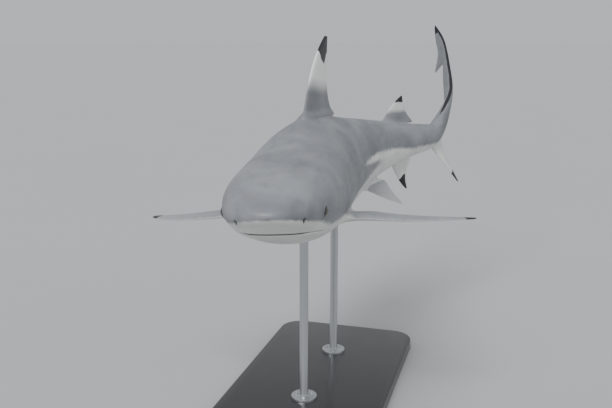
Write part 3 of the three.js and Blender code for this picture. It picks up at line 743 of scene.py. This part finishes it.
folds = {
    # height in mm, place along and half length, place up and half height, and how far out it starts
    "tailPit": (-2.2, 0.751, 0.0045, 0.023, 0.008, -1),  # on top of the tail's root
    "brow": (0.9, 0.081, 0.013, 0.009, 0.005, 0.03),
    "cheek": (1.6, 0.125, 0.022, -0.018, 0.014, 0.03),
}
# the back swells to meet the first dorsal fin, and the lateral line is a faint groove: heights in mm
saddle = {"height": 6.5, "halfWide": 0.018, "starts": (0.28, 0.315), "ends": (0.48, 0.38),
          "upTo": (0.014, 0.003)}
lateralLine = {"height": -0.5, "up": 0.0105, "halfTall": 0.0028, "starts": (0.22, 0.3), "ends": (0.74, 0.6)}
bodyReach = 0.075  # farther out than this there are only fins


def shares(points):  # along, up and out, as shares of the length
    across, at, up = points.T / shark["length"]
    return at, up, np.abs(across)


def bodyRelief(points, normals):
    at, up, out = shares(points)
    backHeight = bodyCurves[1](np.sqrt(np.clip(at, 0, upperLobe["root"][0])))
    move = saddle["height"] * hump(out, 0, saddle["halfWide"]) * smoothStep(at, *saddle["starts"])
    move *= smoothStep(at, *saddle["ends"]) * smoothStep(up - backHeight, *saddle["upTo"]) * (up > 0)
    move *= smoothStep(normals[:, 2], -0.5, 0.1)  # the fin's free rear tip keeps its underside
    for height, centre, halfLong, rise, halfTall, start in folds.values():
        move += height * hump(at, centre, halfLong) * hump(up, rise, halfTall) * (out > start)
    groove = lateralLine["height"] * hump(up, lateralLine["up"], lateralLine["halfTall"])
    groove *= smoothStep(at, *lateralLine["starts"]) * smoothStep(at, *lateralLine["ends"]) * (out > 0.01)
    return (move + groove) * (out < bodyReach)


def addRelief(bm):
    bm.normal_update()
    points = np.array([v.co for v in bm.verts])
    normals = np.array([v.normal for v in bm.verts])
    move = (headRelief(points) + bodyRelief(points, normals)) * millimetre
    for v, distance in zip(bm.verts, move):
        v.co += v.normal * float(distance)
    return points


def softenInsertion(bm):  # smooths the two corners where the first dorsal fin's free rear tip leaves the back
    fin = fins["firstDorsal"]
    turn = (fin["column"] - 1) * 2 * math.pi / body["columns"]
    corner = ringPoint(bodyRing(fin["from"] + fin["base"]), turn) * shark["length"]
    middle = (corner.x, corner.y, corner.z + 2 * millimetre)
    for reach in (14, 12, 10, 8, 6, 8, 10, 12):  # in mm, so that the smoothing fades out
        near = [v for v in bm.verts
                if math.dist((abs(v.co.x), v.co.y, v.co.z), middle) < reach * millimetre]
        for _ in range(3):
            bmesh.ops.smooth_vert(bm, verts=near, factor=0.5,
                                  use_axis_x=True, use_axis_y=True, use_axis_z=True)


restPoints = addRelief(skinMesh)
softenInsertion(skinMesh)
print("relief done")


marks = {
    # height at which the grey of the back ends, at shares of the length, and how soft its edge is in mm
    "edge": [(0, -0.0028), (0.02, -0.0062), (0.04, -0.0088), (0.08, -0.013), (0.13, -0.02), (0.2, -0.021),
             (0.3, -0.022), (0.4, -0.02), (0.5, -0.014), (0.6, -0.01), (0.7, -0.009), (0.8, -0.008)],
    "soft": [(0, 3), (0.06, 4), (0.15, 9), (0.3, 14), (0.75, 9), (1, 8)],
    # where the black of a fin's tip starts, as a share of its span at the front edge and at the hind edge
    "tips": {"firstDorsal": (0.81, 0.62), "secondDorsal": (0.73, 0.66), "anal": (0.62, 0.46),
             "lowerLobe": (0.74, 0.68), "pectoralLeft": (0.93, 0.9), "pectoralRight": (0.93, 0.9)},
    "rearRim": {"firstDorsal": 0.14},  # how much higher the black starts right on the hind edge
    "band": {"firstDorsal": 0.95, "secondDorsal": 0.6},  # how white the band under a tip is
    # how much of that white the paired fins take
    "pale": {"pectoralLeft": 0.1, "pectoralRight": 0.1, "pelvicLeft": 0.2, "pelvicRight": 0.2},
    # the pale streak along the hind flank: its height, and its half width at its front and its rear end
    "streak": [(0.34, 0.01), (0.42, 0.0075), (0.5, 0.0025), (0.62, -0.007)], "streakWide": (0.002, 0.0085),
    "streakWidens": (0.34, 0.56), "streakStarts": (0.34, 0.48), "streakEnds": (0.68, 0.6), "streakPale": 0.8,
    # mm of black along the tail's back edge, low and high, and at its tip, and where the lobe starts
    "tailEdge": (4.2, 5.6), "tailTip": 25, "tailFrom": 0.765, "tailAbove": 0.026,
    "edgeStarts": (0.02, 0.2), "edgeWidens": (0.2, 0.45), "edgeSharp": 2.5,
    "finRays": (34, 2.5),  # how many gristle rays a fin has, and how often they change along the span
    "finRoot": (0.02, 0.14),  # the shares of the span between which a fin's own colours fade in
    "underside": (-0.25, 0.25),  # how far a paired fin's skin faces up, where it turns from white to grey
    "tipSlants": (-0.1, 0.9), "rimRises": (0.72, 0.92),  # shares of the chord
    "bandFades": (-0.44, -0.22),  # where the white band fades in, as shares of the span under the black
    "rayHeights": (0.08, 0.3), "rayChords": (0.1, 0.5),
    # how strong the painted shade in the slits and on the lids is, and how strong the pores are and where the
    # snout has them
    "gillShade": 0.85, "lidShade": 0.85, "pores": 0.4, "poresEnd": (0.07, 0.02), "poresOff": (0.002, 0.006),
}
edgeCurve, softCurve, streakCurve = (smoothCurve(marks[key]) for key in ("edge", "soft", "streak"))
frontEdges = np.vectorize(frontEdge, excluded=[0])
hindEdges = np.vectorize(hindEdge, excluded=[0])


def finShares(fin, points):  # each point's share of the fin's span and chord, if it were on that fin
    length = shark["length"]
    at = points[:, 1] / length
    slope = math.radians(fin["slope"])
    angle = fin["column"] * 2 * math.pi / body["columns"]
    root = ringPoint(bodyRing(min(fin["from"] + fin["base"] / 2, upperLobe["root"][0])), angle)
    start = 0 if fin["column"] in (topColumn, underColumn) else abs(root.x)
    out = points[:, 0] / length * fin["side"] - start
    up = points[:, 2] / length - root.z
    height = (out * math.cos(slope) + up * math.sin(slope)) / fin["span"]
    front = frontEdges(fin, np.clip(height, 0, 1))
    hind = hindEdges(fin, np.clip(height, 0, 1))
    chord = (at - front) / np.maximum(hind - front, 0.001)
    near = (height > 0.04) & (height < 1.1) & (chord > -0.3) & (chord < 1.3)
    return height, chord, near


def markTail(points, tip):  # the black back edge of the upper lobe, and its black tip
    length = shark["length"]
    at, up, out = shares(points)
    along = np.linspace(0, 1, 80)[:, None]
    margin = lobeMargin(along)
    onLobe = (at > marks["tailFrom"]) & (up > marks["tailAbove"])
    gaps = np.hypot(at[onLobe, None] - margin[:, 0], up[onLobe, None] - margin[:, 1])
    share = along[gaps.argmin(axis=1), 0]
    low, high = marks["tailEdge"]
    reach = low * smoothStep(share, *marks["edgeStarts"])
    reach += (high - low) * smoothStep(share, *marks["edgeWidens"])
    edge = reach - np.hypot(gaps.min(axis=1), out[onLobe]) * length / millimetre
    fromTip = np.hypot(at[onLobe] - margin[-1, 0], up[onLobe] - margin[-1, 1]) * length / millimetre
    tip[onLobe] = marks["edgeSharp"] * np.maximum(edge, marks["tailTip"] - fromTip)


def backShade(at, up, out):  # 1 on the grey back, 0 on the pale belly
    shade = 0.5 + (up - edgeCurve(at)) * shark["length"] / millimetre / (2 * softCurve(at))
    thin, wide = marks["streakWide"]
    streak = hump(up, streakCurve(at), thin + (wide - thin) * smoothStep(at, *marks["streakWidens"]))
    streak *= smoothStep(at, *marks["streakStarts"]) * smoothStep(at, *marks["streakEnds"]) * (out < 0.07)
    return np.clip(shade, 0, 1) - marks["streakPale"] * streak


def markCreaseShade(points):  # painted shade in the mouth's line, the nostrils, the gill slits and the lids
    at, up, out = shares(points)
    gap, inside, full = mouthGap(points)
    # the mouth's line gets painted shade, standing in for the shadow under the upper lip
    clear, solid = (thin + more * full for thin, more in mouth["shadeEnds"])
    dark = smoothStep(gap, *mouth["shadeStarts"]) * smoothStep(gap, clear, solid) * inside * full ** 0.4
    # the nostrils' slots and the gill slits get painted shade, as in their recesses
    dark = np.maximum(dark, nostrilSlot(points))
    for behind, inside in gillGaps(points):
        dark = np.maximum(dark, marks["gillShade"] * hump(behind, gills["behind"], gills["wide"]) * inside)
    # painted shade on the lid's rim, where it turns down into the socket
    aside = np.hypot((at - eye["lidAt"]) * shark["length"] / eye["halfLong"],
                     (up - eye["lidUp"]) * shark["length"] / eye["halfTall"])
    lid = smoothStep(aside, *eye["lidEdge"]) * (out > 0.03) * (at < 0.1)  # only on the sides of the head
    return np.clip(np.maximum(dark, marks["lidShade"] * lid), 0, 0.95)


def markings(bm, points):
    length = shark["length"]
    bm.normal_update()
    normals = np.array([v.normal for v in bm.verts])
    at, up, out = shares(points)
    shade = backShade(at, up, out)
    across, outwards = marks["finRays"]
    tip = np.full(len(points), -60.0)  # mm past the black's edge
    band, finMark, finPlace = np.zeros(len(points)), np.zeros(len(points)), np.zeros((len(points), 3))
    for name, fin in fins.items():
        height, chord, near = finShares(fin, points)
        fade = smoothStep(height, *marks["finRoot"])
        if name in marks["pale"]:  # a paired fin is grey above and white below
            own = smoothStep(normals[:, 2], *marks["underside"])
            shade = np.where(near, shade * (1 - fade) + fade * own, shade)
            band = np.where(near, fade * marks["pale"][name], band)
        elif name in ("anal", "lowerLobe"):
            shade = np.where(near, -0.1, shade)
        if name in marks["tips"]:
            front, hind = marks["tips"][name]
            start = front + (hind - front) * smoothStep(chord, *marks["tipSlants"])
            below = height - (start + 0.5 * (front + hind)) / 2
            start += marks["rearRim"].get(name, 0) * smoothStep(chord, *marks["rimRises"])
            tip = np.where(near, (height - start) * fin["span"] * length / millimetre, tip)
            if name in marks["band"]:
                band = np.where(near, smoothStep(below, *marks["bandFades"]) * marks["band"][name], band)
        rays = np.column_stack((chord * across, height * outwards, 0 * height))
        finPlace = np.where(near[:, None], rays, finPlace)
        rayed = smoothStep(height, *marks["rayHeights"]) * smoothStep(chord, *marks["rayChords"])
        finMark = np.where(near, rayed, finMark)
    markTail(points, tip)
    pores = marks["pores"] * smoothStep(at, *marks["poresEnd"]) * smoothStep(np.abs(up), *marks["poresOff"])
    return {"backShade": shade, "tipMark": tip, "bandMark": band, "creaseShadeMark": markCreaseShade(points),
            "poreMark": pores, "finMark": finMark, "finPlace": finPlace}


skinMarks = markings(skinMesh, restPoints)
print("markings done")


def finishObject(name, bm, material, nodes):
    piece = addMesh(name, bm)
    piece.data.shade_smooth()
    piece.data.materials.append(material)
    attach(piece, "root")
    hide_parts(*nodes)
    return piece


def makeSkin():
    bm = skinMesh
    bent = place(np.array([v.co for v in bm.verts]) / shark["length"])
    for v, point in zip(bm.verts, bent):
        v.co = point
    bmesh.ops.recalc_face_normals(bm, faces=bm.faces)
    nodes = ["head", "lower_jaw", "trunk", "tail_stalk", "caudal_upper_lobe", "caudal_lower_lobe",
             "first_dorsal_fin", "second_dorsal_fin", "anal_fin", "pectoral_fin_left", "pectoral_fin_right",
             "pelvic_fin_left", "pelvic_fin_right"]
    skin = finishObject("skin", bm, sharkSkin(), nodes)
    for name, values in {"restPlace": restPoints, **skinMarks}.items():
        kind, field = ("FLOAT", "value") if values.ndim == 1 else ("FLOAT_VECTOR", "vector")
        skin.data.attributes.new(name, kind, "POINT").data.foreach_set(field, values.astype(float).ravel())


makeSkin()
print("skin done")


eyeFinish = {
    "iris": "#4f4d43", "irisDark": "#34332d", "pupil": "#040506", "rim": "#141517",
    # shares of the ball's radius
    "slitHalfWide": 0.11, "slitHalfTall": 0.44, "irisEdge": 0.58, "irisSoft": 0.12,
}


def eyeMaterial():
    # A wet shark's eye: a clear cornea over a dull grey-brown iris with an upright slit.
    look = eyeFinish
    material, tree = newMaterial("wetEye")
    spot = addNode(tree, "Attribute", result="Vector", attribute_name="eyePlace")
    slitSize = (1 / look["slitHalfWide"], 1 / look["slitHalfTall"], 0)
    slit = addNode(tree, "VectorMath", {0: spot, 1: slitSize}, "Vector", operation="MULTIPLY")
    slit = addNode(tree, "VectorMath", {0: slit}, "Value", operation="LENGTH")
    flat = addNode(tree, "VectorMath", {0: spot, 1: (1, 1, 0)}, "Vector", operation="MULTIPLY")
    reach = addNode(tree, "VectorMath", {0: flat}, "Value", operation="LENGTH")
    fibre = addNode(tree, "TexNoise", {"Vector": spot, "Scale": 9.0, "Detail": 4.0}, "Fac")
    fibre = addNode(tree, "MapRange", {"Value": fibre, "From Min": 0.35, "From Max": 0.7}, "Result")
    iris = addNode(tree, "Mix", {0: fibre, 6: hexColour(look["irisDark"]), 7: hexColour(look["iris"])}, 2,
                   data_type="RGBA")
    ring = addNode(tree, "MapRange", {"Value": reach, "From Min": look["irisEdge"] - look["irisSoft"],
                                      "From Max": look["irisEdge"]}, "Result",
                   interpolation_type="SMOOTHSTEP")
    colour = addNode(tree, "Mix", {0: ring, 6: iris, 7: hexColour(look["rim"])}, 2, data_type="RGBA")
    pupil = addNode(tree, "MapRange", {"Value": slit, "From Min": 1.12, "From Max": 0.9}, "Result",
                    interpolation_type="SMOOTHSTEP")
    colour = addNode(tree, "Mix", {0: pupil, 6: colour, 7: hexColour(look["pupil"])}, 2, data_type="RGBA")
    shader = addNode(tree, "BsdfPrincipled", {
        "Base Color": colour, "Roughness": 0.3, "Coat Weight": 0.7, "Coat Roughness": 0.04,
        "IOR": 1.34}, "BSDF")
    addNode(tree, "OutputMaterial", {"Surface": shader})
    return material


def makeEye(hand, side, material):
    length = shark["length"]
    out = skinOut(eye["at"], eye["up"]) - (eye["radius"] - eye["proud"]) / length
    centre = Vector(place((side * out, eye["at"], eye["up"])))
    tailward, left, up = (Vector(way) for way in directions(eye["at"]))
    outwards = left * side * facing.x + tailward * facing.y + up * facing.z
    upwards = (up - outwards * up.dot(outwards)).normalized()
    backwards = upwards.cross(outwards) * side
    bm = bmesh.new()
    bmesh.ops.create_uvsphere(bm, u_segments=48, v_segments=32, radius=1)
    for v in bm.verts:  # the cornea stands a little proud of the ball
        reach = math.hypot(v.co.x, v.co.y)
        if v.co.z > 0:
            v.co.z += eye["corneaRise"] * max(0, 1 - (reach / eye["corneaWide"]) ** 2)
    local = np.array([v.co for v in bm.verts])
    basis = Matrix((backwards, upwards, outwards)).transposed().to_4x4()
    size = Vector((eye["long"], eye["tall"], 1)) * eye["radius"] * eye["fit"]
    bmesh.ops.scale(bm, vec=size, verts=bm.verts)
    bmesh.ops.transform(bm, matrix=Matrix.Translation(centre) @ basis, verts=bm.verts)
    bmesh.ops.recalc_face_normals(bm, faces=bm.faces)
    ball = finishObject(f"eyeball_{hand}", bm, material, [f"eye_{hand}"])
    ball.data.attributes.new("eyePlace", "FLOAT_VECTOR", "POINT").data.foreach_set("vector", local.ravel())


wetEye = eyeMaterial()
makeEye("left", 1, wetEye)
makeEye("right", -1, wetEye)
print("eyes done")


stand = {  # in metres; round parts are given by their radius
    "long": 0.52, "wide": 0.3, "thick": 0.022, "corner": 0.045, "edge": 0.003,
    "rod": 0.008, "foot": 0.024, "footThick": 0.005, "rounding": 0.001, "weld": 0.0025,
    "cup": 0.015, "cupDrop": 0.014, "cupSink": 0.008,
    "screwCircle": 0.0165, "screw": 0.0032, "screwTall": 0.0014, "key": 0.0018, "keyDeep": 0.001,
}
boardFinish = {"dark": "#141517", "pale": "#1e2022", "peel": 3, "haze": 70, "rough": (0.28, 0.42),
               "bumpStrength": 0.1, "bumpHeight": 0.0003, "coat": 0.35, "coatRough": 0.15}
steelFinish = {"colour": "#bfc2c5", "line": 0.7, "stretch": 0.02, "rough": (0.24, 0.42),
               "bumpStrength": 0.2, "bumpHeight": 0.0002}


def lacquer():
    # Board sprayed with black lacquer and rubbed down: an even satin black with a faint orange peel.
    material, tree = newMaterial("blackLacquer")
    look = boardFinish
    low, high = look["rough"]
    coords = addNode(tree, "TexCoord", result="Object")
    peel = addNode(tree, "TexNoise", {"Vector": coords, "Scale": perMetre(look["peel"]),
                                      "Detail": 2.0}, "Fac")
    haze = addNode(tree, "TexNoise", {"Vector": coords, "Scale": perMetre(look["haze"]),
                                      "Detail": 4.0}, "Fac")
    colour = addNode(tree, "Mix", {0: haze, 6: hexColour(look["dark"]), 7: hexColour(look["pale"])}, 2,
                     data_type="RGBA")
    rough = addNode(tree, "MapRange", {"Value": haze, "To Min": low, "To Max": high}, "Result")
    bump = addNode(tree, "Bump", {"Height": peel, "Strength": look["bumpStrength"],
                                  "Distance": look["bumpHeight"]}, "Normal")
    shader = addNode(tree, "BsdfPrincipled", {
        "Base Color": colour, "Roughness": rough, "Normal": bump, "Coat Weight": look["coat"],
        "Coat Roughness": look["coatRough"]}, "BSDF")
    addNode(tree, "OutputMaterial", {"Surface": shader})
    return material


def brushedSteel():
    # Stainless steel, brushed along the rod: soft grey metal with fine upright lines.
    material, tree = newMaterial("brushedSteel")
    look = steelFinish
    low, high = look["rough"]
    coords = addNode(tree, "TexCoord", result="Object")
    stretched = addNode(tree, "Mapping", {"Vector": coords, "Scale": (1, 1, look["stretch"])}, "Vector")
    lines = addNode(tree, "TexNoise", {"Vector": stretched, "Scale": perMetre(look["line"]),
                                       "Detail": 3.0}, "Fac")
    rough = addNode(tree, "MapRange", {"Value": lines, "To Min": low, "To Max": high}, "Result")
    bump = addNode(tree, "Bump", {"Height": lines, "Strength": look["bumpStrength"],
                                  "Distance": look["bumpHeight"]}, "Normal")
    shader = addNode(tree, "BsdfPrincipled", {
        "Base Color": hexColour(look["colour"]), "Metallic": 1.0, "Roughness": rough, "Normal": bump}, "BSDF")
    addNode(tree, "OutputMaterial", {"Surface": shader})
    return material


def rodFoot(at):
    return Vector(place((0, at, 0))).xy


def makeBoard(material):
    front, rear = (rodFoot(at) for at in shark["rodPlaces"])
    bm = bmesh.new()
    bmesh.ops.create_cube(bm, size=1)
    bmesh.ops.scale(bm, vec=(stand["wide"], stand["long"], stand["thick"]), verts=bm.verts)
    bmesh.ops.translate(bm, vec=(0, 0, stand["thick"] / 2), verts=bm.verts)
    upright = [e for e in bm.edges if abs(e.verts[0].co.z - e.verts[1].co.z) > stand["thick"] / 2]
    bmesh.ops.bevel(bm, geom=upright, offset=stand["corner"], segments=14, profile=0.5, affect="EDGES",
                    material=-1)
    rims = [e for e in bm.edges if abs(e.verts[0].co.z - e.verts[1].co.z) < 1e-6]
    bmesh.ops.bevel(bm, geom=rims, offset=stand["edge"], segments=4, profile=0.5, affect="EDGES", material=-1)
    turn = Matrix.Rotation(-math.atan2(rear.x - front.x, rear.y - front.y), 4, "Z")
    bmesh.ops.transform(bm, matrix=turn, verts=bm.verts)
    bmesh.ops.recalc_face_normals(bm, faces=bm.faces)
    board = finishObject("board", bm, material, ["stand_base"])
    board.data.set_sharp_from_angle(angle=math.radians(30))


def spinProfile(bm, profile, steps):  # (radius, height) points turned about the upright axis
    verts = [bm.verts.new((radius, 0, height)) for radius, height in profile]
    edges = [bm.edges.new(pair) for pair in zip(verts, verts[1:])]
    bmesh.ops.spin(bm, geom=verts + edges, cent=(0, 0, 0), axis=(0, 0, 1), angle=2 * math.pi, steps=steps,
                   use_merge=True)
    bmesh.ops.remove_doubles(bm, verts=bm.verts, dist=1e-6)


def addScrew(bm, x, y, z):  # a low round head with a six-sided key hole
    made = bmesh.ops.create_circle(bm, cap_ends=True, segments=24, radius=stand["screw"])["verts"]
    bmesh.ops.translate(bm, vec=(x, y, z), verts=made)
    face = [f for f in bm.faces if set(f.verts) == set(made)]
    top = growRegion(bm, face)
    bmesh.ops.translate(bm, vec=(0, 0, stand["screwTall"]), verts=top[0].verts)
    top = growRegion(bm, top)
    for v in top[0].verts:
        angle = math.atan2(v.co.y - y, v.co.x - x)
        reach = stand["key"] * math.cos(math.pi / 6) / math.cos(angle % (math.pi / 3) - math.pi / 6)
        v.co.x, v.co.y = x + reach * math.cos(angle), y + reach * math.sin(angle)
    top = growRegion(bm, top)
    bmesh.ops.translate(bm, vec=(0, 0, -stand["keyDeep"]), verts=top[0].verts)


def makeRod(name, at, material):
    middle = rodFoot(at)
    belly = place((0, at, -bodyRing(at)["belly"]))[2] - stand["thick"]
    low, neck, top = stand["footThick"], belly - stand["cupDrop"], belly + stand["cupSink"]
    rod, foot, cup = stand["rod"], stand["foot"], stand["cup"]
    rounding, weld = stand["rounding"], stand["weld"]
    profile = [
        (0, 0), (foot, 0), (foot, low - rounding), (foot - 0.3 * rounding, low - 0.3 * rounding),
        (foot - rounding, low), (rod + weld, low), (rod + 0.28 * weld, low + 0.28 * weld), (rod, low + weld),
        (rod, neck - 2 * rounding), (rod + 1.2 * rounding, neck),
        (cup - rounding, belly - 1.5 * rounding), (cup, belly), (cup, top), (0, top),
    ]
    bm = bmesh.new()
    spinProfile(bm, profile, 48)
    for i in range(3):
        angle = math.radians(30 + 120 * i)
        addScrew(bm, stand["screwCircle"] * math.cos(angle), stand["screwCircle"] * math.sin(angle), low)
    bmesh.ops.translate(bm, vec=(middle.x, middle.y, stand["thick"]), verts=bm.verts)
    bmesh.ops.recalc_face_normals(bm, faces=bm.faces)
    rod = finishObject(name, bm, material, [f"stand_{name}"])
    rod.data.set_sharp_from_angle(angle=math.radians(35))


makeBoard(lacquer())
steel = brushedSteel()
makeRod("rod_front", shark["rodPlaces"][0], steel)
makeRod("rod_rear", shark["rodPlaces"][1], steel)
print("stand done")


studio = {
    "floor": 40.0, "floorColour": "#a9abac", "floorShade": "#a5a7a8",  # its radius in metres, and two greys
    "sky": "#e4e7ea", "skyStrength": 0.76,
    # name, brightness, how wide the sun looks in degrees, and its turn and height
    "suns": [("key", 3.3, 30, -25, 46), ("fill", 0.4, 60, 60, 35)],
}


def makeFloor():
    # Matt painted screed, very faintly uneven.
    material, tree = newMaterial("paleFloor")
    coords = addNode(tree, "TexCoord", result="Object")
    cloud = addNode(tree, "TexNoise", {"Vector": coords, "Scale": 1.3, "Detail": 3.0}, "Fac")
    colour = addNode(tree, "Mix", {0: cloud, 6: hexColour(studio["floorColour"]),
                                   7: hexColour(studio["floorShade"])}, 2, data_type="RGBA")
    shader = addNode(tree, "BsdfPrincipled", {"Base Color": colour, "Roughness": 0.8}, "BSDF")
    addNode(tree, "OutputMaterial", {"Surface": shader})
    bm = bmesh.new()
    bmesh.ops.create_circle(bm, cap_ends=True, segments=96, radius=studio["floor"])
    floor = addMesh("floor", bm)
    floor.data.materials.append(material)


def makeLights():
    world = bpy.data.worlds.new("studio")
    world.use_nodes = True
    world.node_tree.nodes["Background"].inputs["Color"].default_value = hexColour(studio["sky"])
    world.node_tree.nodes["Background"].inputs["Strength"].default_value = studio["skyStrength"]
    bpy.context.scene.world = world
    for name, brightness, wide, turn, height in studio["suns"]:
        data = bpy.data.lights.new(name, "SUN")
        data.energy = brightness
        data.angle = math.radians(wide)
        lamp = addObject(name, data)
        lamp.rotation_euler = (math.radians(90 - height), 0, math.radians(turn))


makeFloor()
makeLights()
print("studio done")
